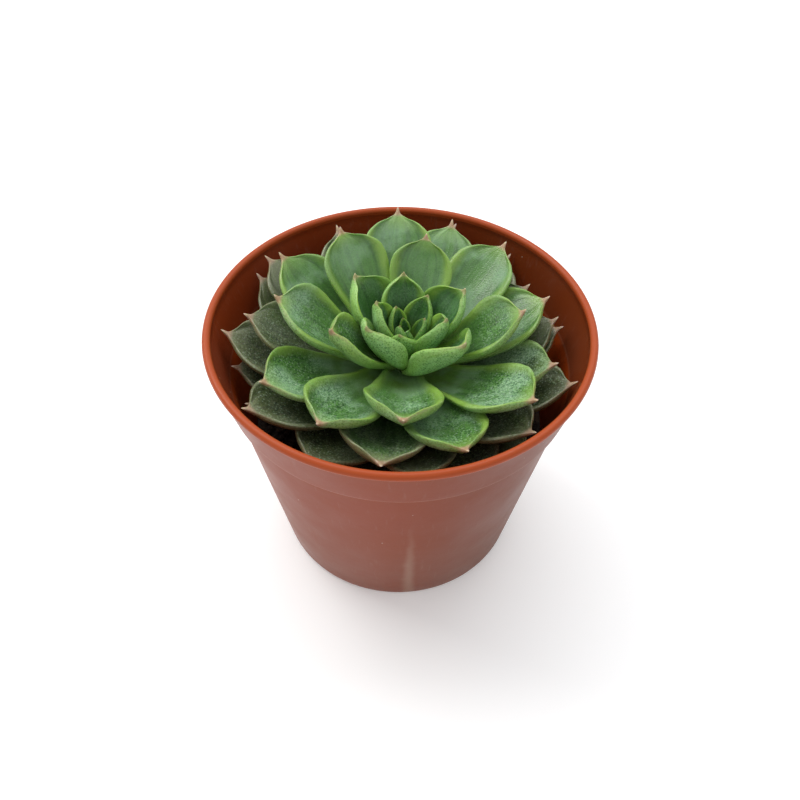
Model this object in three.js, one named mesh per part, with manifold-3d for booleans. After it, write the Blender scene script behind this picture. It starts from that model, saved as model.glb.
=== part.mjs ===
// A rosette succulent growing in a round injection-moulded nursery pot.
// Millimetres, +Z up. The origin is the centre of the pot's foot, on the surface that the pot stands on.
import * as THREE from "three";
import { mergeVertices } from "three/addons/utils/BufferGeometryUtils.js";
import Module from "manifold-3d";

const wasm = await Module();
wasm.setup();

// ---- Driving dimensions, mm ----
const LIP_RADIUS = 52.5; // widest part of the pot, at its rolled lip
const POT_HEIGHT = 82;
const COLLAR_HEIGHT = 15; // the wider band below the lip
const BASE_RADIUS = 38.3;
const BODY_TOP_RADIUS = 47.8; // body wall where it meets the collar
const COLLAR_FOOT_RADIUS = 49.1;
const WALL = 1.2;
const FOOT_LIFT = 2.5; // the drained floor stands this far off the table
const SOIL_LEVEL = 47;
const STEM_RADIUS = 5;
const STEM_TOP = 75;
const CLEARANCE = 0.3; // between pieces that touch

// ---- Driving numbers of the plant ----
const LEAF_COUNT = 56;
const GOLDEN_ANGLE = 137.5; // degrees from one leaf to the next older one
const BUD_AZIMUTH = 175; // where the count of turns starts, degrees from +X
const LEAF_SPACING = 0.43; // how far down the stem the next older leaf grows, mm
const GROWN_AT = 20; // the first leaf that has its full width
const BUD_WIDTH = 1.2; // of the youngest leaf
const FULL_WIDTH = 21; // of a grown leaf
const BUD_THICKNESS = 0.8;
const FULL_THICKNESS = 2.8;
const BUD_CUP = 0.3; // how far a leaf's edges stand above its midrib
const FULL_CUP = 1.6;
const BUD_BEND = 4; // how far a leaf starts below its chord, degrees
const FULL_BEND = 14;
const LEAN_X = 2.5; // the plant leans a little in its soil, degrees
const LEAN_Y = 3;

const rad = THREE.MathUtils.degToRad;
const lerp = THREE.MathUtils.lerp;

// ---- Colours ----
const HEART_LEAVES = 14; // the youngest leaves, which stand up in the middle
const INNER_LEAVES = 30; // these and the heart are green, and older ones are dull
const terracottaPlastic = new THREE.MeshStandardMaterial({ color: 0xb0583a, roughness: 0.42, metalness: 0 });
const pottingMix = new THREE.MeshStandardMaterial({ color: 0x33261c, roughness: 0.95, metalness: 0 });
const stemBark = new THREE.MeshStandardMaterial({ color: 0x7d7a52, roughness: 0.8, metalness: 0 });
const leafGreens = { heart: 0x6f9c58, inner: 0x6aa84f, outer: 0x5d6b4c };

function leafMaterial(zone) {
  return new THREE.MeshStandardMaterial({ color: leafGreens[zone], roughness: 0.5, metalness: 0 });
}

// ---- Solids ----

function solidOf(geometry) {
  const bare = geometry.clone();
  bare.deleteAttribute("normal");
  bare.deleteAttribute("uv");
  const merged = mergeVertices(bare, 1e-4);
  return new wasm.Manifold(
    new wasm.Mesh({
      numProp: 3,
      vertProperties: merged.attributes.position.array,
      triVerts: new Uint32Array(merged.index.array),
    }),
  );
}

function geometryOf(solid) {
  const mesh = solid.getMesh();
  const geometry = new THREE.BufferGeometry();
  geometry.setAttribute("position", new THREE.BufferAttribute(mesh.vertProperties, 3));
  geometry.setIndex(new THREE.BufferAttribute(mesh.triVerts, 1));
  geometry.computeVertexNormals();
  return geometry;
}

// A profile of [radius, height] points turned about +Z. It runs up the outside and back down the inside.
function turned(profile, segments) {
  const points = profile.map(([radius, height]) => new THREE.Vector2(radius, height));
  return new THREE.LatheGeometry(points, segments).rotateX(Math.PI / 2);
}

// ---- Pot ----

const POT_SEGMENTS = 60;
const LIP_BEAD = 1.1; // radius of the rolled edge
const LIP_OVERHANG = 0.6; // how far the rolled edge stands proud of the collar
const COLLAR_FOOT = POT_HEIGHT - COLLAR_HEIGHT;
const FOOT_RING_WIDTH = 2.8; // the flat that the pot stands on
const FLOOR_THICKNESS = 1.5;
const FLOOR_TOP = FOOT_LIFT + FLOOR_THICKNESS;
const DRAIN_HOLES = 8;
const DRAIN_HOLE_RADIUS = 3.5;
const DRAIN_CIRCLE_RADIUS = 27;

// The inside of the body wall at a height.
function bodyInside(height) {
  return lerp(BASE_RADIUS, BODY_TOP_RADIUS, height / COLLAR_FOOT) - WALL;
}

function potProfile() {
  const collarTop = POT_HEIGHT - 2 * LIP_BEAD + 0.4;
  const collarRadius = LIP_RADIUS - LIP_OVERHANG;
  const footOuter = BASE_RADIUS - 1;
  const footInner = footOuter - FOOT_RING_WIDTH;
  const bead = [];
  for (const degrees of [-35, 0, 35, 70, 110, 145, 180, 215]) {
    const a = rad(degrees);
    bead.push([
      LIP_RADIUS - LIP_BEAD + LIP_BEAD * Math.cos(a),
      POT_HEIGHT - LIP_BEAD + LIP_BEAD * Math.sin(a),
    ]);
  }
  return [
    [0, FOOT_LIFT],
    [footInner - 1, FOOT_LIFT],
    [footInner, 0],
    [footOuter, 0],
    [BASE_RADIUS + 0.2, 1.4],
    [BODY_TOP_RADIUS, COLLAR_FOOT],
    [COLLAR_FOOT_RADIUS, COLLAR_FOOT],
    [collarRadius, collarTop],
    ...bead,
    [collarRadius - WALL, collarTop],
    [COLLAR_FOOT_RADIUS - WALL, COLLAR_FOOT + 1.5],
    [bodyInside(COLLAR_FOOT - 2), COLLAR_FOOT - 2],
    [bodyInside(FLOOR_TOP + 1.5), FLOOR_TOP + 1.5],
    [bodyInside(FLOOR_TOP) - 1.5, FLOOR_TOP],
    [0, FLOOR_TOP],
  ];
}

function potGeometry() {
  let solid = solidOf(turned(potProfile(), POT_SEGMENTS));
  for (let i = 0; i < DRAIN_HOLES; i++) {
    const angle = ((i + 0.5) * 2 * Math.PI) / DRAIN_HOLES;
    const drill = new THREE.CylinderGeometry(DRAIN_HOLE_RADIUS, DRAIN_HOLE_RADIUS, 4 * FOOT_LIFT, 16);
    drill.rotateX(Math.PI / 2);
    drill.translate(DRAIN_CIRCLE_RADIUS * Math.cos(angle), DRAIN_CIRCLE_RADIUS * Math.sin(angle), FOOT_LIFT);
    solid = solid.subtract(solidOf(drill));
  }
  return geometryOf(solid);
}

// ---- Plant frame: its origin is where the stem leaves the soil ----

const plant = new THREE.Group();
plant.position.z = SOIL_LEVEL;
plant.rotation.set(rad(LEAN_X), rad(LEAN_Y), 0);
plant.updateMatrix();

// ---- Soil, with a pocket where the stem is rooted ----

const SOIL_SEGMENTS = 40;
const STEM_SEGMENTS = 16;
const ROOTED_DEPTH = 8;

function soilGeometry() {
  const floor = FLOOR_TOP + CLEARANCE;
  const gap = 3 * CLEARANCE; // clear of the facets of the wall
  const edge = SOIL_LEVEL - 1.5;
  const mound = turned(
    [
      [0, floor],
      [bodyInside(floor) - 2 - gap, floor],
      [bodyInside(floor + 2) - gap, floor + 2],
      [bodyInside(edge) - gap, edge],
      [0.6 * bodyInside(edge), SOIL_LEVEL - 0.3],
      [STEM_RADIUS + 3, SOIL_LEVEL + 0.6],
      [0, SOIL_LEVEL],
    ],
    SOIL_SEGMENTS,
  );
  const pocketRadius = STEM_RADIUS + 2 * CLEARANCE;
  const pocket = new THREE.CylinderGeometry(pocketRadius, pocketRadius, 2 * ROOTED_DEPTH, STEM_SEGMENTS);
  pocket.rotateX(Math.PI / 2).applyMatrix4(plant.matrix);
  return geometryOf(solidOf(mound).subtract(solidOf(pocket)));
}

// ---- Stem ----

const APEX_RADIUS = 0.7;
const TAPER = 1.05; // how much wider the stem grows for each millimetre below its tip, until it is full

// The stem is a post that narrows to the growing tip.
function stemRadius(height) {
  const belowTip = STEM_TOP - SOIL_LEVEL - height;
  return Math.min(STEM_RADIUS, APEX_RADIUS + TAPER * Math.max(0, belowTip));
}

function stemGeometry() {
  const top = STEM_TOP - SOIL_LEVEL;
  const taperDepth = (STEM_RADIUS - APEX_RADIUS) / TAPER;
  return turned(
    [
      [0, CLEARANCE - ROOTED_DEPTH],
      [STEM_RADIUS - 1, CLEARANCE - ROOTED_DEPTH],
      [STEM_RADIUS, 2 - ROOTED_DEPTH],
      [STEM_RADIUS, top - taperDepth],
      [APEX_RADIUS, top],
      [0, top],
    ],
    STEM_SEGMENTS,
  );
}

// ---- Leaves ----

// One leaf's template: share of its length, of its half width, and of its thickness.
const LEAF_SECTIONS = [
  [0, 0, 0],
  [0.02, 0.32, 0.6],
  [0.14, 0.45, 0.75],
  [0.28, 0.58, 0.9],
  [0.42, 0.73, 1],
  [0.55, 0.87, 1],
  [0.67, 0.98, 0.92],
  [0.77, 1, 0.8],
  [0.855, 0.89, 0.66],
  [0.915, 0.67, 0.52],
  [0.952, 0.36, 0.42],
  [0.974, 0.11, 0.28],
  [1, 0, 0],
];
const SECTION_SIDES = 8;
const FACE_DEPTH = 0.35; // a leaf's thickness above its midrib, as a share, and below it
const BACK_DEPTH = 0.65;

// The rosette's habit: where the tips reach, as [leaf, reach from the axis, height]. Leaf 1 is the youngest.
const TIP_HABIT = [
  [0, 0.4, 79],
  [3, 2.4, 82],
  [6, 6, 85],
  [10, 12, 89],
  [14, 21, 88.5],
  [16, 27, 88.5],
  [18, 34, 88],
  [22, 42, 86.5],
  [30, 45, 82],
  [40, 47, 77],
  [56, 46, 70],
];

// How single leaves depart from the habit: [turn of the tip in degrees, longer reach, higher tip].
const DEPARTURES = {
  2: [25, 1, 0],
  3: [-10, 0, 0],
  4: [5, 1, 0],
  5: [-12, 0, 0],
  6: [-27, 1.5, -0.5],
  7: [-5, 1, 0],
  8: [-26, -0.4, 0.5],
  9: [6, 0, 0],
  10: [-13, 0, 0],
  11: [-27, 0, 0],
  13: [-17, -1, 0.5],
  14: [17, -1.5, 0.5],
  15: [3, 4.5, 1],
  16: [-5, -4, 1],
  17: [7, 0, 1],
  18: [-6, 1.5, 1],
  19: [1, 1, -1],
  20: [1, 2, 0.5],
  21: [-3, -5, 2],
  22: [-3, 0.5, 0.5],
  23: [-3, 1.5, 0.5],
  24: [6, 0.5, -0.5],
  25: [2, -3, 0],
  26: [-1, -1, 0.5],
  27: [1, 1, 0],
  28: [8, 1, 0.3],
  29: [10, -1.5, -1],
  30: [3, -4, 0],
  31: [1, 0, 0],
  32: [8, 1, 0],
  33: [-3, -5, -0.5],
  34: [8, -2, 0.2],
  35: [6, 0, 0.5],
  36: [-13, 2, 1],
  37: [-7, 3, -0.7],
  38: [12, -3, 0.2],
  39: [9, 3, 1],
  41: [-3, 2, 0],
  42: [-9, 3, 0],
  43: [15, 0.5, 2],
  45: [-3, 0, -1.6],
  46: [-9, -1, 0.5],
  47: [-7, 4, 0],
  48: [0, 0, -0.3],
  49: [0, 0, -1.5],
  50: [-2, 0, -1.7],
  51: [1, -1, -0.7],
  52: [0, 0, -3],
  53: [0, 0, -2],
  54: [0, 0, -1],
  55: [11, 1.5, -2],
  56: [4, -2, -2],
};

function tipHabit(leaf) {
  const next = TIP_HABIT.findIndex(([age]) => age >= leaf);
  if (next <= 0) return TIP_HABIT[0].slice(1);
  const [a0, r0, z0] = TIP_HABIT[next - 1];
  const [a1, r1, z1] = TIP_HABIT[next];
  const share = (leaf - a0) / (a1 - a0);
  return [lerp(r0, r1, share), lerp(z0, z1, share)];
}

// From 0 in the bud to 1 in a grown leaf.
function growth(leaf) {
  return Math.sin((Math.PI / 2) * Math.min(1, leaf / GROWN_AT));
}

function midrib(leaf, reach, height) {
  const baseHeight = STEM_TOP - SOIL_LEVEL - LEAF_SPACING * leaf;
  const base = new THREE.Vector2(stemRadius(baseHeight) + CLEARANCE, baseHeight);
  const tip = new THREE.Vector2(reach, height - SOIL_LEVEL);
  const chord = tip.clone().sub(base);
  const bend = lerp(BUD_BEND, FULL_BEND, growth(leaf));
  const direction = chord.clone().rotateAround(new THREE.Vector2(), -rad(bend));
  const control = base.clone().addScaledVector(direction, 0.5);
  return new THREE.QuadraticBezierCurve(base, control, tip);
}

function leafGeometry(leaf) {
  const [turn, longer, higher] = DEPARTURES[leaf] ?? [0, 0, 0];
  const [reach, height] = tipHabit(leaf);
  const rib = midrib(leaf, reach + longer, height + higher);
  const grown = growth(leaf);
  const halfWidth = lerp(BUD_WIDTH, FULL_WIDTH, grown) / 2;
  const thickness = lerp(BUD_THICKNESS, FULL_THICKNESS, grown);
  const cup = lerp(BUD_CUP, FULL_CUP, grown);
  const azimuth = rad(BUD_AZIMUTH + GOLDEN_ANGLE * leaf);

  const ball = new THREE.SphereGeometry(1, SECTION_SIDES, LEAF_SECTIONS.length - 1);
  const { position, uv } = ball.attributes;
  for (let i = 0; i < position.count; i++) {
    const section = Math.round((1 - uv.getY(i)) * (LEAF_SECTIONS.length - 1));
    const around = 2 * Math.PI * uv.getX(i);
    const [along, widthShare, thickShare] = LEAF_SECTIONS[section];
    const across = widthShare === 0 ? 0 : -Math.cos(around);
    const side = Math.sin(around);
    const centre = rib.getPointAt(along);
    const tangent = rib.getTangentAt(along);
    const depth = side > 0 ? FACE_DEPTH : BACK_DEPTH;
    const lift = side * depth * thickness * thickShare + cup * widthShare * across * across;
    const radius = centre.x - tangent.y * lift;
    const z = centre.y + tangent.x * lift;
    const wrap = (across * halfWidth * widthShare) / Math.max(centre.x, APEX_RADIUS);
    const angle = azimuth + rad(turn) * along + wrap;
    position.setXYZ(i, radius * Math.cos(angle), radius * Math.sin(angle), z);
  }
  ball.computeVertexNormals();
  return ball;
}

// ---- Assembly ----

function piece(name, geometry, material) {
  const mesh = new THREE.Mesh(geometry, material);
  mesh.name = name;
  return mesh;
}

function zoneOf(leaf) {
  if (leaf <= HEART_LEAVES) return "heart";
  return leaf <= INNER_LEAVES ? "inner" : "outer";
}

plant.add(piece("stem", stemGeometry(), stemBark));
for (let leaf = 1; leaf <= LEAF_COUNT; leaf++) {
  const name = "leaf_" + String(leaf).padStart(2, "0");
  plant.add(piece(name, leafGeometry(leaf), leafMaterial(zoneOf(leaf))));
}

const pottedSucculent = new THREE.Group();
pottedSucculent.add(piece("pot", potGeometry(), terracottaPlastic));
pottedSucculent.add(piece("soil", soilGeometry(), pottingMix));
pottedSucculent.add(plant);

export default pottedSucculent;
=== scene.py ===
import math
import random

import bmesh
import bpy
import numpy as np
from mathutils import Matrix, Vector, noise


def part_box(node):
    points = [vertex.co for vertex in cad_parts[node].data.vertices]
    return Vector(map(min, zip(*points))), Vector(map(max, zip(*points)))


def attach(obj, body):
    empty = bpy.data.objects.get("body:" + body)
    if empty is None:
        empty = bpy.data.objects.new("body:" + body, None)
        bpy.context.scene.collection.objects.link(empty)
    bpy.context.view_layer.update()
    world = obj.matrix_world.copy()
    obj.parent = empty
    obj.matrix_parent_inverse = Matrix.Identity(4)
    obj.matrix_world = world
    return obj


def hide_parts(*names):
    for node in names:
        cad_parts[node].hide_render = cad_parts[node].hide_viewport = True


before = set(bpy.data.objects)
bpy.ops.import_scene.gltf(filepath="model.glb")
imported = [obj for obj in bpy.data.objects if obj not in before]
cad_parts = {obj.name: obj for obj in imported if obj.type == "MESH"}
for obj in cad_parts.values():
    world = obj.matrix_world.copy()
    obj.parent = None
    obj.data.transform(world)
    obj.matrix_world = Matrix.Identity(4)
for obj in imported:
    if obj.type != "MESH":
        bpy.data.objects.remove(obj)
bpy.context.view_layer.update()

# ---- Camera, table and light ----
# The plant stands on a white table in soft daylight that comes from behind and from the left.
# The camera looks down on it at about 48 degrees, from close by.

VIEW_ELEVATION = math.radians(48.3)
VIEW_DISTANCE = 0.2231
VIEW_HEIGHT = 0.0488
VIEW_ROLL = math.radians(1.0)

camera = bpy.data.objects.new("camera", bpy.data.cameras.new("camera"))
bpy.context.scene.collection.objects.link(camera)
camera.data.sensor_width = 36
camera.data.lens = 33.39
camera.data.shift_x = 0.001
camera.data.clip_start = 0.01
camera.location = (
    0,
    -VIEW_DISTANCE * math.cos(VIEW_ELEVATION),
    VIEW_HEIGHT + VIEW_DISTANCE * math.sin(VIEW_ELEVATION),
)
tilt = Matrix.Rotation(math.pi / 2 - VIEW_ELEVATION, 4, "X")
camera.matrix_world = Matrix.Translation(camera.location) @ tilt @ Matrix.Rotation(VIEW_ROLL, 4, "Z")
bpy.context.scene.camera = camera
bpy.context.scene.view_settings.view_transform = "Standard"

floor_mesh = bmesh.new()
bmesh.ops.create_grid(floor_mesh, x_segments=1, y_segments=1, size=6)
floor = bpy.data.objects.new("floor", bpy.data.meshes.new("floor"))
floor_mesh.to_mesh(floor.data)
floor_mesh.free()
bpy.context.scene.collection.objects.link(floor)
floor_paint = bpy.data.materials.new("floor")
floor_paint.use_nodes = True
floor_skin = floor_paint.node_tree.nodes["Principled BSDF"].inputs
floor_skin["Base Color"].default_value = (0.93, 0.93, 0.93, 1)
floor_skin["Roughness"].default_value = 0.9
floor_skin["Emission Color"].default_value = (1, 1, 1, 1)
floor_skin["Emission Strength"].default_value = 0.14
floor.data.materials.append(floor_paint)

world = bpy.data.worlds.new("daylight")
bpy.context.scene.world = world
world.use_nodes = True
world.node_tree.nodes["Background"].inputs["Color"].default_value = (0.985, 0.99, 1, 1)
world.node_tree.nodes["Background"].inputs["Strength"].default_value = 0.72


def soft_box(name, place, size, watts, colour):
    """An area light that looks at the pot."""
    lamp = bpy.data.objects.new(name, bpy.data.lights.new(name, "AREA"))
    bpy.context.scene.collection.objects.link(lamp)
    lamp.data.shape = "RECTANGLE"
    lamp.data.size, lamp.data.size_y = size
    lamp.data.energy = watts
    lamp.data.color = colour
    lamp.visible_camera = False
    look = Vector((0, 0, 0.05)) - Vector(place)
    lamp.matrix_world = Matrix.Translation(place) @ look.to_track_quat("-Z", "Y").to_matrix().to_4x4()


soft_box("window", (-0.6, 0.35, 0.85), (0.5, 0.5), 4.4, (1, 0.99, 0.96))
soft_box("skylight", (0.0, 0.42, 0.95), (1.2, 0.7), 6.5, (0.97, 0.99, 1))


# ---- Pot ----
# A round nursery pot, injection-moulded in terracotta-coloured polypropylene with a satin face.
# A rolled lip and a wide collar stiffen the thin wall, and the floor has a foot ring and drain holes.

MM = 0.001
pot_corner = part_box("pot")[1]
LIP_RADIUS = pot_corner.x
POT_HEIGHT = pot_corner.z
POT_STEPS = 192
WALL = 1.2 * MM
BEAD = 1.1 * MM  # radius of the rolled lip
COLLAR_FOOT = POT_HEIGHT - 15 * MM
COLLAR_FOOT_RADIUS = 49.1 * MM
COLLAR_ROUND = 0.35 * MM  # radius of the collar's lower edge
BODY_TOP_RADIUS = 47.8 * MM
BODY_ROUND = 0.3 * MM  # radius of the corner under the collar
BASE_RADIUS = 38.3 * MM
FOOT_ROUND = 1.5 * MM  # outer edge of the foot ring
FOOT_INNER_ROUND = 0.6 * MM
FLOOR_UNDERSIDE = 2.5 * MM
FLOOR_TOP = 4 * MM
FLOOR_RINGS = (12 * MM, 22 * MM, 32 * MM)  # where the flat floor has rings of points
DRAIN_HOLES = 8
DRAIN_RADIUS = 3.5 * MM
DRAIN_CIRCLE = 27 * MM  # radius of the circle that the holes stand on
SHARP = math.radians(38)


def arc(centre, radius, start, end, steps):
    """Points of a profile along an arc, angles in degrees from outward."""
    angles = np.radians(np.linspace(start, end, steps + 1))
    return [(centre[0] + radius * math.cos(a), centre[1] + radius * math.sin(a)) for a in angles]


def straight(start, end, steps):
    """Points of a profile along a straight stretch, without its first."""
    return [
        (start[0] + (end[0] - start[0]) * i / steps, start[1] + (end[1] - start[1]) * i / steps)
        for i in range(1, steps + 1)
    ]


def turned(profile, steps):
    """A bmesh of a profile spun about +Z, closed on the axis, faces outwards."""
    turned_mesh = bmesh.new()
    points = [turned_mesh.verts.new((radius, 0, height)) for radius, height in profile]
    edges = [turned_mesh.edges.new(pair) for pair in zip(points, points[1:])]
    bmesh.ops.spin(
        turned_mesh, geom=points + edges, cent=(0, 0, 0), axis=(0, 0, 1),
        angle=2 * math.pi, steps=steps, use_merge=True,
    )
    bmesh.ops.remove_doubles(turned_mesh, verts=turned_mesh.verts, dist=1e-6)
    bmesh.ops.recalc_face_normals(turned_mesh, faces=turned_mesh.faces)
    return turned_mesh


def piece_of(mesh, name, smooth=True):
    """A piece of the object from a finished bmesh, at the origin."""
    made = bpy.data.objects.new(name, bpy.data.meshes.new(name))
    mesh.to_mesh(made.data)
    mesh.free()
    made.data.polygons.foreach_set("use_smooth", [smooth] * len(made.data.polygons))
    bpy.context.scene.collection.objects.link(made)
    return made


bead_centre = (LIP_RADIUS - BEAD, POT_HEIGHT - BEAD)
collar_top = POT_HEIGHT - 2 * BEAD + 0.35 * MM
collar_outside = LIP_RADIUS - 0.6 * MM
pot_profile = [(radius, FLOOR_UNDERSIDE) for radius in (0, *FLOOR_RINGS, BASE_RADIUS - 4.6 * MM)]
pot_profile += arc((BASE_RADIUS - 3.4 * MM, FOOT_INNER_ROUND), FOOT_INNER_ROUND, 180, 270, 4)
pot_profile += arc((BASE_RADIUS - 1.4 * MM, FOOT_ROUND), FOOT_ROUND, 270, 352, 7)
pot_profile += straight(pot_profile[-1], (BODY_TOP_RADIUS, COLLAR_FOOT - BODY_ROUND), 26)
pot_profile += arc((BODY_TOP_RADIUS + BODY_ROUND, COLLAR_FOOT - BODY_ROUND), BODY_ROUND, 180, 90, 3)
pot_profile += arc(
    (COLLAR_FOOT_RADIUS - COLLAR_ROUND, COLLAR_FOOT + COLLAR_ROUND), COLLAR_ROUND, 270, 355, 4
)
pot_profile += straight(pot_profile[-1], (collar_outside, collar_top), 7)
pot_profile += arc(bead_centre, BEAD, -48, 180, 18)
pot_profile += [(collar_outside - WALL, collar_top - 0.5 * MM)]
pot_profile += straight(pot_profile[-1], (COLLAR_FOOT_RADIUS - WALL, COLLAR_FOOT + 1.5 * MM), 7)
pot_profile += [(BODY_TOP_RADIUS - WALL, COLLAR_FOOT - 2 * MM)]
pot_profile += straight(pot_profile[-1], (BASE_RADIUS - WALL + 0.8 * MM, FLOOR_TOP + 1.5 * MM), 20)
pot_profile += [
    (radius, FLOOR_TOP) for radius in (BASE_RADIUS - WALL - 0.9 * MM, *reversed(FLOOR_RINGS), 0)
]

pot_mesh = turned(pot_profile, POT_STEPS)
for vert in pot_mesh.verts:
    # A thin moulded wall is never quite round or even.
    above_foot = min(1, max(0, (vert.co.z - 5 * MM) / (60 * MM)))
    below_lip = min(1, max(0, (80 * MM - vert.co.z) / (10 * MM)))
    swell = noise.noise(Vector((vert.co.x, vert.co.y, 0.6 * vert.co.z)) * 38)
    outward = Vector((vert.co.x, vert.co.y, 0))
    if outward.length > 30 * MM:
        vert.co += outward.normalized() * (0.14 * MM * swell - 0.05 * MM) * above_foot * below_lip
for edge in pot_mesh.edges:
    if len(edge.link_faces) == 2 and edge.calc_face_angle() > SHARP:
        edge.smooth = False
pot = piece_of(pot_mesh, "pot_shell")

drill_mesh = bmesh.new()
for hole in range(DRAIN_HOLES):
    angle = (hole + 0.5) * 2 * math.pi / DRAIN_HOLES
    hole_place = (DRAIN_CIRCLE * math.cos(angle), DRAIN_CIRCLE * math.sin(angle), FLOOR_UNDERSIDE)
    bmesh.ops.create_cone(
        drill_mesh, cap_ends=True, segments=40, radius1=DRAIN_RADIUS, radius2=DRAIN_RADIUS,
        depth=8 * MM, matrix=Matrix.Translation(hole_place),
    )
drill = piece_of(drill_mesh, "drill")
cut = pot.modifiers.new("drain_holes", "BOOLEAN")
cut.operation = "DIFFERENCE"
cut.object = drill
cut.solver = "EXACT"
drilled = bpy.data.meshes.new_from_object(pot.evaluated_get(bpy.context.evaluated_depsgraph_get()))
pot.modifiers.clear()
pot.data = drilled
bpy.data.objects.remove(drill)


class Paint:
    """Short words for the nodes of one material or node group."""

    def __init__(self, tree):
        self.tree = tree

    def add(self, kind, **settings):
        """A new node with its settings."""
        node = self.tree.nodes.new(kind)
        for key, value in settings.items():
            setattr(node, key, value)
        return node

    def put(self, socket, value):
        """A value or another node's output into a socket."""
        if isinstance(value, bpy.types.NodeSocket):
            self.tree.links.new(value, socket)
        elif value is not None:
            socket.default_value = value

    def calc(self, operation, first, second=None, third=None):
        """One step of arithmetic."""
        node = self.add("ShaderNodeMath", operation=operation)
        for socket, value in zip(node.inputs, (first, second, third)):
            self.put(socket, value)
        return node.outputs[0]

    def times(self, *shares):
        """The product of all the shares."""
        product = shares[0]
        for share in shares[1:]:
            product = self.calc("MULTIPLY", product, share)
        return product

    def rest(self, share):
        """What a share leaves of one."""
        return self.calc("SUBTRACT", 1.0, share)

    def mix(self, share, low, high, blend="MIX"):
        """The low colour with a share of the high one."""
        node = self.add("ShaderNodeMix", data_type="RGBA", blend_type=blend)
        self.put(node.inputs[0], share)
        self.put(node.inputs[6], low)
        self.put(node.inputs[7], high)
        return node.outputs[2]

    def tinted(self, colour, tint):
        """A colour seen through a tint."""
        return self.mix(1.0, colour, tint, "MULTIPLY")

    def step(self, value, start, end, low=0.0, high=1.0):
        """A smooth step from low to high as value goes from start to end."""
        node = self.add("ShaderNodeMapRange", interpolation_type="SMOOTHSTEP")
        for socket, setting in zip(node.inputs, (value, start, end, low, high)):
            self.put(socket, setting)
        return node.outputs[0]

    def axes(self, place):
        """The x, y and z of a place."""
        node = self.add("ShaderNodeSeparateXYZ")
        self.put(node.inputs[0], place)
        return node.outputs

    def noise(self, place, scale, detail=3.0, rough=0.55):
        """Soft cloudy noise, 0 to 1."""
        node = self.add("ShaderNodeTexNoise")
        self.put(node.inputs["Vector"], place)
        self.put(node.inputs["Scale"], scale)
        self.put(node.inputs["Detail"], detail)
        self.put(node.inputs["Roughness"], rough)
        return node.outputs[0]

    def cells(self, place, scale, output="Distance"):
        """Round cells: how far it is to the middle of the nearest, or its colour."""
        node = self.add("ShaderNodeTexVoronoi")
        self.put(node.inputs["Vector"], place)
        self.put(node.inputs["Scale"], scale)
        return node.outputs[output]

    def stretch(self, place, scale, shift=(0, 0, 0)):
        """A place, scaled and shifted."""
        node = self.add("ShaderNodeMapping")
        self.put(node.inputs["Vector"], place)
        node.inputs["Scale"].default_value = scale
        node.inputs["Location"].default_value = shift
        return node.outputs[0]

    def bump(self, height, strength, distance, normal=None):
        """Relief, on top of another relief if there is one."""
        node = self.add("ShaderNodeBump")
        self.put(node.inputs["Height"], height)
        node.inputs["Strength"].default_value = strength
        node.inputs["Distance"].default_value = distance
        self.put(node.inputs["Normal"], normal)
        return node.outputs[0]


def material_of(name):
    """A new material, its paint words and its Principled shader."""
    made = bpy.data.materials.new(name)
    made.use_nodes = True
    return made, Paint(made.node_tree), made.node_tree.nodes["Principled BSDF"]


POT_TONES = {
    "under the collar": (0.24, 0.037, 0.008, 1),
    "at the foot": (0.225, 0.06, 0.03, 1),
    "clouds": (0.28, 0.085, 0.05, 1),
    "lip": (0.36, 0.062, 0.014, 1),
    "inside": (0.37, 0.054, 0.006, 1),
    "water marks": (0.4, 0.25, 0.2, 1),
    "painted_edge_highlight": (0.45, 0.19, 0.12, 1),
    "painted reflection": (0.42, 0.27, 0.2, 1),
    "painted shade tint": (0.6, 0.78, 0.8, 1),
    "specks": (0.6, 0.5, 0.42, 1),
}

pot_plastic, paint, skin = material_of("pot_plastic")
place = paint.add("ShaderNodeTexCoord").outputs["Object"]
place_x, place_y, height = paint.axes(place)
radius = paint.calc(
    "SQRT", paint.calc("ADD", paint.calc("POWER", place_x, 2.0), paint.calc("POWER", place_y, 2.0))
)
on_lip = paint.step(height, POT_HEIGHT - 2.1 * MM, POT_HEIGHT - 1.75 * MM)
off_lip = paint.rest(on_lip)
# The inside is all that lies within a cone a little smaller than the outside of the wall.
wall_middle = paint.calc("MULTIPLY_ADD", height, 0.145, 37.2 * MM)
inside = paint.step(paint.calc("SUBTRACT", radius, wall_middle), 0.6 * MM, 0.1 * MM)
inside = paint.times(inside, off_lip)
down_wall = paint.step(height, 4 * MM, COLLAR_FOOT, 1.0, 0.0)
colour = paint.mix(down_wall, POT_TONES["under the collar"], POT_TONES["at the foot"])
clouds = paint.noise(place, 42, 4)
colour = paint.mix(paint.step(clouds, 0.35, 0.7, 0.0, 0.2), colour, POT_TONES["clouds"])
# The lip is painted a brighter orange than the wall: partly cleaner plastic, partly painted light on the
# upward-facing lip.
colour = paint.mix(on_lip, colour, POT_TONES["lip"])
colour = paint.mix(inside, colour, POT_TONES["inside"])
# Dry water marks run down the outside.
runs = paint.noise(paint.stretch(place, (900, 900, 18)), 1.0, 3)
water_marks = paint.times(paint.step(runs, 0.58, 0.76, 0.0, 0.1), off_lip)
colour = paint.mix(water_marks, colour, POT_TONES["water marks"])
# A pale band is painted along the collar's lower edge: a painted highlight.
off_edge = paint.calc("ABSOLUTE", paint.calc("SUBTRACT", height, COLLAR_FOOT + 0.2 * MM))
painted_edge_highlight = paint.times(paint.step(off_edge, 0.5 * MM, 0.1 * MM, 0.0, 0.35), paint.rest(inside))
colour = paint.mix(painted_edge_highlight, colour, POT_TONES["painted_edge_highlight"])
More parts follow.
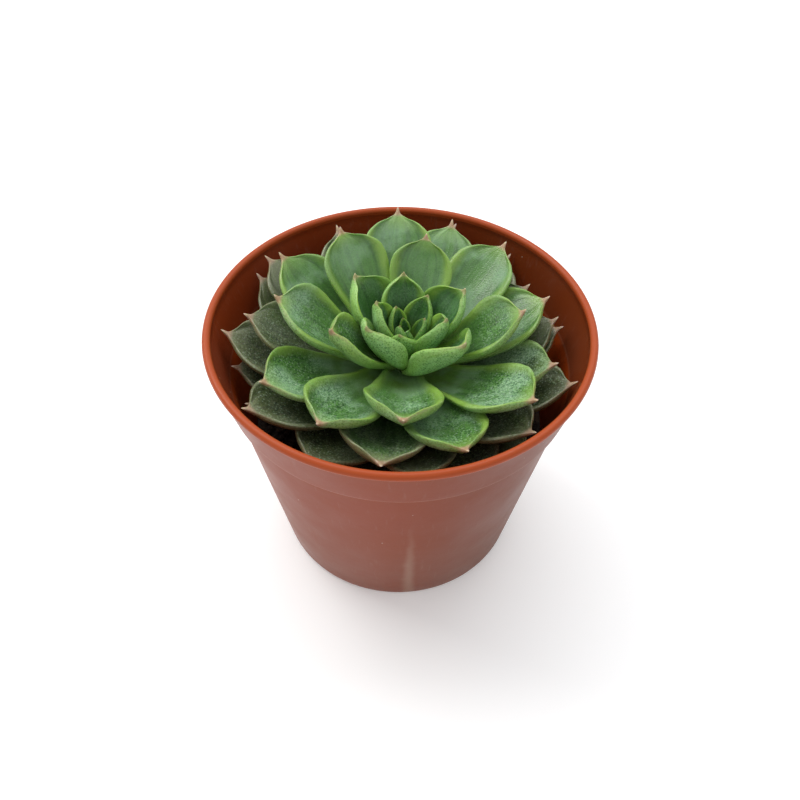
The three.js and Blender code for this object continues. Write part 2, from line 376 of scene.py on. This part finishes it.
# A soft pale streak, a painted reflection, wavers down the front and widens towards the foot.
waver = paint.calc("MULTIPLY_ADD", paint.noise(place, 110, 3), 3 * MM, 2.3 * MM)
aside = paint.calc("ABSOLUTE", paint.calc("SUBTRACT", place_x, waver))
mark_width = paint.step(height, 55 * MM, 5 * MM, 1.0 * MM, 2.8 * MM)
painted_reflection_streak = paint.step(paint.calc("DIVIDE", aside, mark_width), 1.0, 0.0, 0.0, 0.38)
on_front = paint.step(place_y, -20 * MM, -30 * MM)
low_down = paint.step(height, 56 * MM, 18 * MM)
colour = paint.mix(paint.times(painted_reflection_streak, on_front, low_down), colour, POT_TONES["painted reflection"])
# The side away from the window is painted darker: painted shade.
painted_side_shade = paint.step(place_x, -10 * MM, 35 * MM, 0.0, 0.75)
painted_side_shade = paint.times(painted_side_shade, paint.rest(paint.calc("MAXIMUM", inside, on_lip)))
colour = paint.mix(painted_side_shade, colour, paint.tinted(colour, POT_TONES["painted shade tint"]))
# A few pale specks of dirt.
specks = paint.calc("LESS_THAN", paint.cells(place, 260), 0.055)
dirty = paint.calc("GREATER_THAN", paint.noise(place, 90, 1), 0.6)
colour = paint.mix(paint.times(specks, dirty, 0.6), colour, POT_TONES["specks"])
fine_grain = paint.noise(place, 2600, 2)
paint.put(skin.inputs["Base Color"], colour)
paint.put(skin.inputs["Roughness"], paint.step(clouds, 0.3, 0.75, 0.33, 0.48))
paint.put(skin.inputs["Normal"], paint.bump(fine_grain, 0.12, 0.08 * MM, paint.bump(clouds, 0.25, 0.9 * MM)))
skin.inputs["Specular IOR Level"].default_value = 0.2
skin.inputs["Subsurface Weight"].default_value = 0.12
skin.inputs["Subsurface Radius"].default_value = (1, 0.35, 0.2)
skin.inputs["Subsurface Scale"].default_value = 1.2 * MM
pot.data.materials.clear()
pot.data.materials.append(pot_plastic)
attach(pot, "root")
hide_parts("pot")


# ---- Potting mix ----
# Moist dark peat with crumbs and slivers of bark, filled by hand and settled a little below the collar.
# It is heaped slightly round the stem.

SOIL_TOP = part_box("soil")[1].z
SOIL_TOP_RADIUS = 43 * MM
CRUMB_COUNT = 1300
BARK_SHARE = 0.25  # of the crumbs that are slivers of bark
PEAT_DARK = (0.006, 0.004, 0.003, 1)
PEAT_LIGHT = (0.05, 0.03, 0.018, 1)
BARK_TONE = (0.13, 0.07, 0.035, 1)
random.seed(11)
noise.seed_set(11)


def merged_copy(node):
    """A bmesh copy of a plain solid, with its loose triangles joined."""
    copy = bmesh.new()
    copy.from_mesh(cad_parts[node].data)
    bmesh.ops.remove_doubles(copy, verts=copy.verts, dist=1e-6)
    return copy


soil_mesh = merged_copy("soil")
for _ in range(2):
    top_edges = [e for e in soil_mesh.edges if max(v.co.z for v in e.verts) > SOIL_TOP - 4 * MM]
    bmesh.ops.subdivide_edges(soil_mesh, edges=top_edges, cuts=2, use_grid_fill=True)
bmesh.ops.triangulate(soil_mesh, faces=soil_mesh.faces)
for vert in soil_mesh.verts:
    if vert.co.z > SOIL_TOP - 3 * MM:
        vert.co.z += 0.9 * MM * noise.noise(vert.co * 160) - 0.5 * MM
for crumb in range(CRUMB_COUNT):
    size = random.uniform(0.5, 1.7) * MM
    around = random.uniform(0, 2 * math.pi)
    out = math.sqrt(random.uniform(0.03, 1)) * (SOIL_TOP_RADIUS - 2.4 * size)
    if random.random() < BARK_SHARE:
        squash = Matrix.Diagonal((random.uniform(1.3, 2.2), 0.8, 0.35, 1))
    else:
        squash = Matrix.Diagonal((1, 0.85, 0.75, 1))
    spot = Matrix.Translation((out * math.cos(around), out * math.sin(around), SOIL_TOP - 1.0 * MM))
    lean = Matrix.Rotation(random.uniform(-0.5, 0.5), 4, "Y")
    turn = Matrix.Rotation(random.uniform(0, 6.28), 4, "Z")
    lie = spot @ lean @ turn @ squash
    made = bmesh.ops.create_icosphere(soil_mesh, subdivisions=1, radius=size, matrix=lie)
    for vert in made["verts"]:
        vert.co += 0.25 * size * noise.noise_vector(vert.co * 700)
soil = piece_of(soil_mesh, "potting_mix", smooth=False)

potting_mix, paint, skin = material_of("potting_mix")
place = paint.add("ShaderNodeTexCoord").outputs["Object"]
clumps = paint.noise(place, 900, 5, 0.7)
tone = paint.mix(clumps, PEAT_DARK, PEAT_LIGHT)
tone = paint.mix(paint.step(paint.cells(place, 420, "Color"), 0.75, 0.95, 0.0, 0.7), tone, BARK_TONE)
paint.put(skin.inputs["Base Color"], tone)
paint.put(skin.inputs["Roughness"], paint.step(clumps, 0.3, 0.7, 0.75, 0.98))
paint.put(skin.inputs["Normal"], paint.bump(clumps, 0.8, 0.8 * MM))
soil.data.materials.append(potting_mix)
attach(soil, "root")
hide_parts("soil")


# ---- Stem ----
# A short woody stem, hidden by the rosette, with the crescent scars of leaves that have dropped.
# It is rooted in the mix, leans a little, and is still green towards its growing tip.

STEM_SIDES = 16
SCAR_DEPTH = 0.16 * MM
STEM_SLACK = 0.2 * MM  # how far the bark stays inside the plain solid
BARK_DARK = (0.11, 0.09, 0.045, 1)
BARK_LIGHT = (0.27, 0.25, 0.13, 1)
GREEN_BARK = (0.1, 0.19, 0.045, 1)

stem_mesh = merged_copy("stem")
stem_poles = sorted(
    (v.co.copy() for v in stem_mesh.verts if len(v.link_edges) >= STEM_SIDES), key=lambda co: co.z
)
stem_foot, stem_tip = stem_poles[0], stem_poles[-1]
plant_axis = (stem_tip - stem_foot).normalized()
long_edges = [e for e in stem_mesh.edges if e.calc_length() > 8 * MM]
bmesh.ops.subdivide_edges(stem_mesh, edges=long_edges, cuts=30)
bmesh.ops.subdivide_edges(stem_mesh, edges=stem_mesh.edges, cuts=1, use_grid_fill=True, smooth=0.3)
for vert in stem_mesh.verts:
    up = (vert.co - stem_foot).dot(plant_axis)
    out = vert.co - stem_foot - plant_axis * up
    if out.length > 3 * MM:
        turn = math.atan2(out.y, out.x)
        scar = math.sin(5 * turn + up / MM * 2.2) * math.sin(up / MM * 1.7 - 3 * turn)
        vert.co += out.normalized() * (SCAR_DEPTH * scar - STEM_SLACK)
stem = piece_of(stem_mesh, "stem_bark")

stem_bark, paint, skin = material_of("stem_bark")
place = paint.add("ShaderNodeTexCoord").outputs["Object"]
grain = paint.noise(paint.stretch(place, (1400, 1400, 350)), 1.0, 4)
bark = paint.mix(grain, BARK_DARK, BARK_LIGHT)
still_green = paint.step(paint.axes(place)[2], stem_foot.z + 12 * MM, stem_foot.z + 22 * MM)
bark = paint.mix(still_green, bark, GREEN_BARK)
paint.put(skin.inputs["Base Color"], bark)
paint.put(skin.inputs["Roughness"], paint.step(grain, 0.3, 0.7, 0.7, 0.9))
paint.put(skin.inputs["Normal"], paint.bump(grain, 0.5, 0.3 * MM))
stem.data.materials.append(stem_bark)
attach(stem, "root")
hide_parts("stem")


# ---- Leaves ----
# Fifty-six fleshy leaves in one spiral, each its own piece and joined to the stem by its narrow base.
# The face is shallowly cupped inside a thick rounded margin, the back is convex and keeled below the
# tip, and each leaf ends in a soft spine. Young leaves are bright and waxy, and old ones dull and dusty.

LEAF_COUNT = 56
HEART_LEAVES = 14
INNER_LEAVES = 30
GROWN_AT = 20  # the first leaf that has its full relief
SECTION_SIDES = 8
FACE_SHARE = 0.35  # of a leaf's thickness, above its middle surface


def span_of(ring):
    """The distance from each corner of a section to the opposite one."""
    return np.linalg.norm(ring - np.roll(ring, SECTION_SIDES // 2, 0), axis=1)


def rings_between(base, tip):
    """The sections of a plain leaf solid between its two poles, from base to tip."""
    rings = []
    seen = {tip}
    level = [e.other_vert(tip) for e in tip.link_edges]
    while base not in level:
        seen |= set(level)
        order = [level[0]]
        while len(order) < SECTION_SIDES:
            beside = [e.other_vert(order[-1]) for e in order[-1].link_edges]
            order.append(next(v for v in beside if v in level and v not in order))
        rings.append(np.array([v.co[:] for v in order]))
        linked = [e.other_vert(v) for v in level for e in v.link_edges]
        level = list(dict.fromkeys(v for v in linked if v not in seen))
    rings.reverse()
    return rings


def facing(ring, forward):
    """A section that starts at one edge of the leaf and goes over its face, at corner 2, to the other."""
    ring = np.roll(ring, -int(np.argmax(span_of(ring))), 0)
    middle = Vector(ring.mean(0)) - stem_foot
    inward = -(middle - plant_axis * middle.dot(plant_axis)).normalized()
    if Vector(ring[2] - ring[6]).dot(inward + plant_axis) < 0:
        ring = np.roll(ring[::-1], 1, 0)
    if Vector(ring[4] - ring[0]).cross(forward).dot(Vector(ring[2] - ring[6])) < 0:
        ring = np.roll(ring[::-1], 5, 0)
    return ring


def turned_like(ring, near):
    """A section whose corners follow those of its neighbour."""
    here = ring - ring.mean(0)
    beside = near - near.mean(0)
    scale = np.linalg.norm(beside) / max(np.linalg.norm(here), 1e-9)
    turns = [np.roll(corners, k, 0) for corners in (here, here[::-1]) for k in range(SECTION_SIDES)]
    return ring.mean(0) + min(turns, key=lambda corners: np.linalg.norm(corners * scale - beside))


def rings_of(node):
    """A plain leaf solid as its sections, from base to tip: an array of [section, corner, xyz]."""
    solid = merged_copy(node)
    poles = [v for v in solid.verts if len(v.link_edges) == SECTION_SIDES]
    poles.sort(key=lambda v: (v.co - stem_foot).dot(plant_axis))
    rings = rings_between(poles[0], poles[-1])
    base_point = np.array(poles[0].co[:])
    tip_point = np.array(poles[-1].co[:])
    solid.free()
    widest = max(range(len(rings)), key=lambda i: span_of(rings[i]).max())
    rings[widest] = facing(rings[widest], Vector(tip_point - base_point))
    for i in range(widest - 1, -1, -1):
        rings[i] = turned_like(rings[i], rings[i + 1])
    for i in range(widest + 1, len(rings)):
        rings[i] = turned_like(rings[i], rings[i - 1])
    base_ring = np.repeat(base_point[None], SECTION_SIDES, 0)
    tip_ring = np.repeat(tip_point[None], SECTION_SIDES, 0)
    return np.array([base_ring, *rings, tip_ring])


def catmull(stations, where):
    """Smooth values between stations, along the first axis."""
    i = np.clip(np.floor(where).astype(int), 0, len(stations) - 2)
    t = (where - i).reshape((-1,) + (1,) * (stations.ndim - 1))
    last = len(stations) - 1
    before, a, b, after = (stations[np.clip(i + k, 0, last)] for k in (-1, 0, 1, 2))
    linear = (b - before) * t
    square = (2 * before - 5 * a + 4 * b - after) * t**2
    cube = (3 * a - before - 3 * b + after) * t**3
    return 0.5 * (2 * a + linear + square + cube)


def lagrange(knots, x):
    """The weights that values at the knots have at each x."""
    return np.stack([np.prod([(x - k) / (j - k) for k in knots if k != j], axis=0) for j in knots], 1)


# Half width along a leaf, as shares: a grown leaf is widest near its end, and a young one lower down.
GROWN_OUTLINE = (
    (0, 0.3), (0.02, 0.36), (0.14, 0.5), (0.28, 0.62), (0.42, 0.76), (0.55, 0.89), (0.66, 0.985), (0.73, 1),
    (0.8, 0.95), (0.85, 0.81), (0.885, 0.6), (0.905, 0.42), (0.918, 0.29), (0.93, 0.19), (0.942, 0.12),
    (0.955, 0.075), (0.97, 0.05), (0.985, 0.032), (1, 0),
)
YOUNG_OUTLINE = (
    (0, 0.4), (0.04, 0.52), (0.14, 0.7), (0.28, 0.87), (0.42, 0.98), (0.54, 1), (0.66, 0.93), (0.76, 0.78),
    (0.84, 0.55), (0.89, 0.34), (0.92, 0.2), (0.945, 0.11), (0.975, 0.05), (1, 0),
)
BUD_OUTLINE = (
    (0, 0.6), (0.1, 0.8), (0.22, 0.95), (0.34, 1), (0.46, 0.95), (0.58, 0.83), (0.7, 0.66), (0.8, 0.47),
    (0.88, 0.29), (0.94, 0.14), (1, 0),
)
# How far the margins of single leaves fold up over the face, as a share of their half width.
FOLDS = {
    7: 0.2, 8: 0.25, 9: 0.2, 10: 0.25, 11: 0.14, 12: 0.25, 13: 0.32, 14: 0.14, 15: 0.12, 16: 0.22, 17: 0.1,
    18: 0.14, 19: 0.2, 21: 0.1, 22: 0.1, 23: 0.1, 24: 0.18, 27: 0.12, 29: 0.1, 32: 0.12,
}
USUAL_FOLD = 0.05
# How far single leaves roll about their midrib, degrees.
ROLLS = {11: 2, 14: -10, 16: -9}
# How wide single leaves are beside their plain solids.
WIDTHS = {11: 1.1, 12: 1.05, 13: 1.05, 14: 1.12, 16: 0.84, 32: 1.12, 45: 1.12}
# Leaves with one margin that droops near the base: its side, and how far it droops.
DROOPS = {11: (-1, 4 * MM), 14: (1, 4.6 * MM)}
# Leaves that look older or younger than their place in the spiral, and the place they look like.
LOOKS_LIKE = {25: 29, 30: 36, 32: 30}


def grown_share(number):
    """How far the relief of a leaf has grown."""
    return math.sin(math.pi / 2 * min(1, number / GROWN_AT))


def blade_share(along):
    """One on the blade, less near the base, and nothing on the spine."""
    return np.clip((along - 0.04) / 0.1, 0, 1) * np.clip((0.95 - along) / 0.05, 0, 1)


def outline_of(number, along):
    """The half width of one leaf at places along it."""
    bud = np.clip((10 - number) / 4, 0, 1)
    young = np.clip((17 - number) / 9, 0, 1) - bud
    shapes = ((1 - young - bud, GROWN_OUTLINE), (young, YOUNG_OUTLINE), (bud, BUD_OUTLINE))
    return WIDTHS.get(number, 1) * sum(share * np.interp(along, *zip(*shape)) for share, shape in shapes)


def relief_of(number, along, across, side, deep, width):
    """How far a leaf's face and back stand off its middle surface."""
    edge = np.abs(across)
    blade = blade_share(along)
    broad = np.clip(width / (10 * MM), 0, 1)
    # Fuller towards the margin than an ellipse, except on the spine and at the base.
    full = np.sqrt(np.clip(1 - edge ** (2 + 1.8 * blade), 0, 1))
    deep = deep * (1 + 0.22 * blade * np.clip((along - 0.3) / 0.4, 0, 1))
    deep = np.where(along > 0.9, np.minimum(deep, 1.15 * width + 0.1 * MM), deep)
    rim = 0.3 * MM * np.exp(-(((edge - 0.88) / 0.085) ** 2))
    valley = 0.34 * MM * np.exp(-(((edge - 0.66) / 0.16) ** 2))
    furrows = [noise.noise(Vector((4.5 * x, 1.6 * y, number * 7.3))) for x, y in zip(across, along)]
    furrows = 0.16 * MM * np.array(furrows) * (1 - edge**6)
    shaping = (rim - valley + furrows) * blade * broad * np.sqrt(np.clip(1 - edge**8, 0, 1))
    keel = 0.5 * MM * grown_share(number) * np.exp(-((across / 0.16) ** 2))
    keel = keel * np.clip((along - 0.6) / 0.25, 0, 1) * blade
    return np.where(side > 0, FACE_SHARE * deep * full + shaping, (FACE_SHARE - 1) * deep * full - keel)


def rolled(point, centre, forward, angle):
    """Points turned about a leaf's midrib."""
    arm = point - centre
    level = forward * (arm @ forward)[:, None]
    aside = np.cross(forward, arm)
    return centre + (arm - level) * np.cos(angle)[:, None] + aside * np.sin(angle)[:, None] + level


def leaf_piece(number):
    """One finished leaf, made over its plain solid."""
    node = "leaf_%02d" % number
    rings = rings_of(node)
    rng = np.random.default_rng(400 + number)
    ripples, first_ripple = rng.uniform(7, 12), rng.uniform(0, 6)
    seed = rng.uniform(0, 50)

    # The middle surface at five places across, and the thickness and its direction at three.
    over, under = rings[:, (0, 1, 2, 3, 4)], rings[:, (0, 7, 6, 5, 4)]
    middle = (1 - FACE_SHARE) * over + FACE_SHARE * under
    lift = (over - under)[:, 1:4]
    thickness = np.linalg.norm(lift[:, 1], axis=1)
    lift[0], lift[-1] = lift[1], lift[-2]
    lift /= np.linalg.norm(lift, axis=2, keepdims=True)
    midrib = middle[:, 2]

    # A ball's points, and where each comes to lie on the leaf.
    columns, rows = (44, 72) if number > 9 else (32, 52)
    leaf = bmesh.new()
    layers = [leaf.verts.layers.float.new(key) for key in ("along", "across", "face", "age", "seed")]
    bmesh.ops.create_uvsphere(leaf, u_segments=columns, v_segments=rows, radius=1)
    ball = np.array([v.co[:] for v in leaf.verts])
    station = (len(rings) - 1) * (1 - np.arccos(np.clip(ball[:, 2], -1, 1)) / math.pi)
    around = np.arctan2(ball[:, 1], ball[:, 0])
    across = -np.cos(around)
    side = np.sin(around)
    edge = np.abs(across)
    reached = np.concatenate([[0], np.cumsum(np.linalg.norm(np.diff(midrib, axis=0), axis=1))])
    along = np.interp(station, np.arange(len(rings)), reached / reached[-1])
    blade = blade_share(along)

    # The outline.
    places = catmull(middle, station)
    width = np.linalg.norm(places[:, 4] - places[:, 0], axis=1)
    spread = np.clip(outline_of(number, along) * width.max() / np.maximum(width, 1e-6), 0.1, 2.4)
    reach = across * spread
    width = width * spread
    five = np.array([-1, -math.sqrt(0.5), 0, math.sqrt(0.5), 1])
    point = np.einsum("vk,vkx->vx", lagrange(five, reach), places)

    # The thickness and the relief.
    up = np.einsum("vk,vkx->vx", lagrange(five[1:4], np.clip(reach, -1.3, 1.3)), catmull(lift, station))
    up /= np.linalg.norm(up, axis=1, keepdims=True)
    deep = np.maximum(catmull(thickness, station), 0)
    wave = 0.35 * MM * grown_share(number) * np.sin(along * ripples + first_ripple)
    wave = wave * edge**4 * np.sign(across) * blade
    point += up * (relief_of(number, along, across, side, deep, width) + wave)[:, None]

    # Its own fold, droop and roll.
    upright = catmull(lift[:, 1], station)
    raised = FOLDS.get(number, USUAL_FOLD) * width.max() / 2 * edge**1.7 * blade
    if number in DROOPS:
        droop_side, droop = DROOPS[number]
        drooping = np.interp(along, (0, 0.12, 0.4, 0.85), (0.1, 0.65, 0.9, 0))
        raised = raised - droop * drooping * np.clip(across * droop_side, 0, 1) ** 1.4
    point += upright * raised[:, None]
    if number in ROLLS:
        forward = (midrib[-1] - midrib[0]) / np.linalg.norm(midrib[-1] - midrib[0])
        eased = np.clip(along / 0.4, 0, 1) * np.clip((1 - along) / 0.2, 0, 1)
        point = rolled(point, catmull(midrib, station), forward, math.radians(ROLLS[number]) * eased)

    age = LOOKS_LIKE.get(number, number) / LEAF_COUNT
    for vert, spot, a, x, y in zip(leaf.verts, point, along, across, side):
        vert.co = spot
        for layer, value in zip(layers, (a, x, y, age, seed)):
            vert[layer] = value
    bmesh.ops.recalc_face_normals(leaf, faces=leaf.faces)
    zone = "heart" if number <= HEART_LEAVES else "inner" if number <= INNER_LEAVES else "outer"
    made = piece_of(leaf, "blade_%02d" % number)
    made.data.materials.append(leaf_skins[zone])
    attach(made, "root")
    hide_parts(node)


# The skin of every leaf is one group, which each age of leaf fills with its own tones.
SKIN_TONES = ("Face", "Old Face", "Back", "Margin", "Spine", "Bloom And Sheen")
SKIN_AMOUNTS = ("Bloom And Sheen Amount", "Dust")
WORN_TINT = (0.2, 0.33, 0.26, 1)
STREAK_TINT = (0.5, 0.55, 0.6, 1)
PATCH_TINT = (1.35, 1.25, 1.1, 1)
FRESH_TINT = (1.6, 1.5, 1.8, 1)
WAX = (0.42, 0.56, 0.4, 1)
DRY_POINT = (0.7, 0.55, 0.42, 1)
DUST = (0.42, 0.4, 0.34, 1)
GRIT = (0.7, 0.68, 0.6, 1)

leaf_group = bpy.data.node_groups.new("leaf_surface", "ShaderNodeTree")
for name in SKIN_TONES:
    leaf_group.interface.new_socket(name, in_out="INPUT", socket_type="NodeSocketColor")
for name in SKIN_AMOUNTS:
    leaf_group.interface.new_socket(name, in_out="INPUT", socket_type="NodeSocketFloat")
leaf_group.interface.new_socket("Color", in_out="OUTPUT", socket_type="NodeSocketColor")
leaf_group.interface.new_socket("Roughness", in_out="OUTPUT", socket_type="NodeSocketFloat")
leaf_group.interface.new_socket("Normal", in_out="OUTPUT", socket_type="NodeSocketVector")

paint = Paint(leaf_group)
tones = paint.add("NodeGroupInput").outputs
finish = paint.add("NodeGroupOutput").inputs
own_values = ("along", "across", "face", "age", "seed")
along, across, side, age, seed = (
    paint.add("ShaderNodeAttribute", attribute_name=key).outputs["Fac"] for key in own_values
)
edge = paint.calc("ABSOLUTE", across)
place = paint.add("ShaderNodeTexCoord").outputs["Object"]
on_leaf = paint.add("ShaderNodeCombineXYZ")
for socket, value in zip(on_leaf.inputs, (across, along, seed)):
    paint.put(socket, value)
on_leaf = on_leaf.outputs[0]
on_face = paint.step(side, -0.08, 0.12)
on_back = paint.rest(on_face)
aged = paint.step(age, 0.5, 0.64)
body = paint.mix(on_face, tones["Back"], paint.mix(aged, tones["Face"], tones["Old Face"]))
# Soft lengthwise streaks and blotches in the flesh, which is paler towards the base.
streaks = paint.noise(paint.stretch(on_leaf, (5, 1.6, 1)), 1.0)
streaks = paint.times(paint.step(streaks, 0.45, 0.66, 0.0, 0.8), on_face)
body = paint.mix(streaks, body, paint.tinted(body, STREAK_TINT))
patches = paint.step(paint.noise(place, 130), 0.4, 0.75, 0.0, 0.4)
body = paint.mix(patches, body, paint.tinted(body, PATCH_TINT))
body = paint.mix(paint.step(along, 0.5, 0.12, 0.0, 0.5), body, tones["Margin"])
# A thin waxy bloom lies over the flesh, less of it on the youngest and the oldest leaves. Its pale bluish
# patches are partly real bloom and partly painted sheen.
bloom_and_sheen_patches = paint.step(paint.noise(place, 95), 0.42, 0.62)
bloom_and_sheen = paint.times(
    paint.calc("MULTIPLY_ADD", bloom_and_sheen_patches, 0.88, 0.12),
    tones["Bloom And Sheen Amount"],
    paint.step(age, 0.27, 0.36, 0.35, 1.0),
    paint.calc("MULTIPLY_ADD", aged, -0.25, 1.0),
)
body = paint.mix(bloom_and_sheen, body, tones["Bloom And Sheen"])
# Where the leaf has been watered the bloom has worn into fine dark pores and pale grains of wax.
watered = paint.step(paint.axes(place)[1], 22 * MM, -12 * MM, 0.2, 1.0)
patchy = paint.step(paint.noise(place, 110, 2), 0.3, 0.5, 0.45, 1.0)
worn_face = paint.times(paint.step(along, 0.3, 0.62), paint.times(watered, patchy))
worn = paint.calc("MAXIMUM", worn_face, paint.times(on_back, 0.8))
open_face = paint.times(on_face, watered)
grains = paint.noise(place, 2550, 1.5, 0.5)
fine_pores = paint.step(paint.cells(place, 1900), 0.5, 0.3)
broad_pores = paint.times(paint.step(paint.cells(place, 1150), 0.44, 0.3), open_face)
pores = paint.calc("MAXIMUM", fine_pores, broad_pores)
pores = paint.times(pores, paint.step(paint.calc("MULTIPLY_ADD", worn, 0.09, grains), 0.41, 0.5))
body = paint.mix(paint.times(pores, worn, 0.85), body, paint.tinted(body, WORN_TINT))
fresh = paint.times(paint.step(grains, 0.54, 0.42), paint.times(worn, 0.5))
body = paint.mix(fresh, body, paint.tinted(body, FRESH_TINT))
wax_grains = paint.cells(paint.stretch(place, (1, 1, 1), (0.31, 0.17, 0.05)), 1250)
wax_grains = paint.times(paint.step(wax_grains, 0.36, 0.22), open_face, paint.times(worn_face, 0.4))
body = paint.mix(wax_grains, body, WAX)
# The thick margin and the tip are clear and let light through.
wave = paint.noise(paint.stretch(on_leaf, (3, 14, 1)), 1.0, 2)
rim_reach = paint.calc("MULTIPLY_ADD", wave, 0.14, paint.step(age, 0.4, 0.15, 0.0, 0.1))
rim = paint.step(paint.calc("ADD", edge, rim_reach), 0.72, 0.98)
tipward = paint.step(along, 0.8, 0.94, 0.0, 0.85)
margin = paint.times(
    paint.calc("MAXIMUM", rim, tipward),
    paint.calc("MULTIPLY_ADD", aged, -0.3, 0.8),
    paint.calc("MULTIPLY_ADD", on_face, 0.4, 0.6),
    paint.step(paint.noise(place, 85, 2), 0.36, 0.6, 0.55, 1.0),
)
body = paint.mix(margin, body, tones["Margin"])
# The spine is brown to its pale dry point, and its colour runs a little way along the brink.
brink = paint.step(edge, 0.88, 0.99)
blush = paint.times(brink, paint.step(along, 0.84, 0.96, 0.0, 0.4), paint.step(wave, 0.35, 0.6))
body = paint.mix(blush, body, tones["Spine"])
body = paint.mix(paint.step(along, 0.918, 0.958, 0.0, 0.85), body, tones["Spine"])
dry_point = paint.times(paint.step(along, 0.97, 0.998, 0.0, 0.6), paint.step(age, 0.08, 0.25))
body = paint.mix(dry_point, body, DRY_POINT)
# Dust has settled on the old leaves, and single grains of grit on all but the youngest.
powder = paint.step(paint.noise(place, 2100, 3, 0.75), 0.55, 0.68)
body = paint.mix(paint.times(powder, on_face, tones["Dust"]), body, DUST)
grit = paint.calc("LESS_THAN", paint.cells(place, 420), 0.06)
gritty = paint.calc("GREATER_THAN", paint.noise(place, 210, 1), 0.63)
body = paint.mix(paint.times(grit, gritty, paint.step(age, 0.12, 0.25), 0.7), body, GRIT)
folds = paint.bump(paint.noise(paint.stretch(on_leaf, (6, 2.5, 1)), 1.0), 0.3, 0.8 * MM)
paint.put(finish["Color"], body)
paint.put(finish["Roughness"], paint.step(bloom_and_sheen_patches, 0.0, 1.0, 0.28, 0.5))
paint.put(finish["Normal"], paint.bump(grains, 0.35, 0.25 * MM, folds))

LEAF_TONES = {
    "heart": {
        "Face": (0.058, 0.165, 0.04, 1), "Old Face": (0.058, 0.165, 0.04, 1), "Back": (0.25, 0.46, 0.15, 1),
        "Margin": (0.27, 0.46, 0.06, 1), "Spine": (0.36, 0.3, 0.14, 1), "Bloom And Sheen": (0.27, 0.45, 0.28, 1),
        "Bloom And Sheen Amount": 0.5, "Dust": 0.0,
    },
    "inner": {
        "Face": (0.072, 0.185, 0.034, 1), "Old Face": (0.062, 0.1, 0.03, 1), "Back": (0.19, 0.34, 0.09, 1),
        "Margin": (0.245, 0.4, 0.065, 1), "Spine": (0.42, 0.23, 0.15, 1), "Bloom And Sheen": (0.3, 0.48, 0.29, 1),
        "Bloom And Sheen Amount": 0.5, "Dust": 0.05,
    },
    "outer": {
        "Face": (0.078, 0.165, 0.045, 1), "Old Face": (0.06, 0.084, 0.027, 1), "Back": (0.14, 0.15, 0.06, 1),
        "Margin": (0.22, 0.235, 0.12, 1), "Spine": (0.41, 0.26, 0.17, 1), "Bloom And Sheen": (0.15, 0.17, 0.11, 1),
        "Bloom And Sheen Amount": 0.45, "Dust": 0.36,
    },
}
leaf_skins = {}
for zone, zone_tones in LEAF_TONES.items():
    leaf_skins[zone], paint, skin = material_of("leaf_" + zone)
    surface = paint.add("ShaderNodeGroup", node_tree=leaf_group)
    for key, value in zone_tones.items():
        paint.put(surface.inputs[key], value)
    paint.put(skin.inputs["Base Color"], surface.outputs["Color"])
    paint.put(skin.inputs["Roughness"], surface.outputs["Roughness"])
    paint.put(skin.inputs["Normal"], surface.outputs["Normal"])
    skin.inputs["Subsurface Weight"].default_value = 0.2
    skin.inputs["Subsurface Radius"].default_value = (0.5, 1, 0.25)
    skin.inputs["Subsurface Scale"].default_value = 1.6 * MM

for number in range(1, LEAF_COUNT + 1):
    leaf_piece(number)
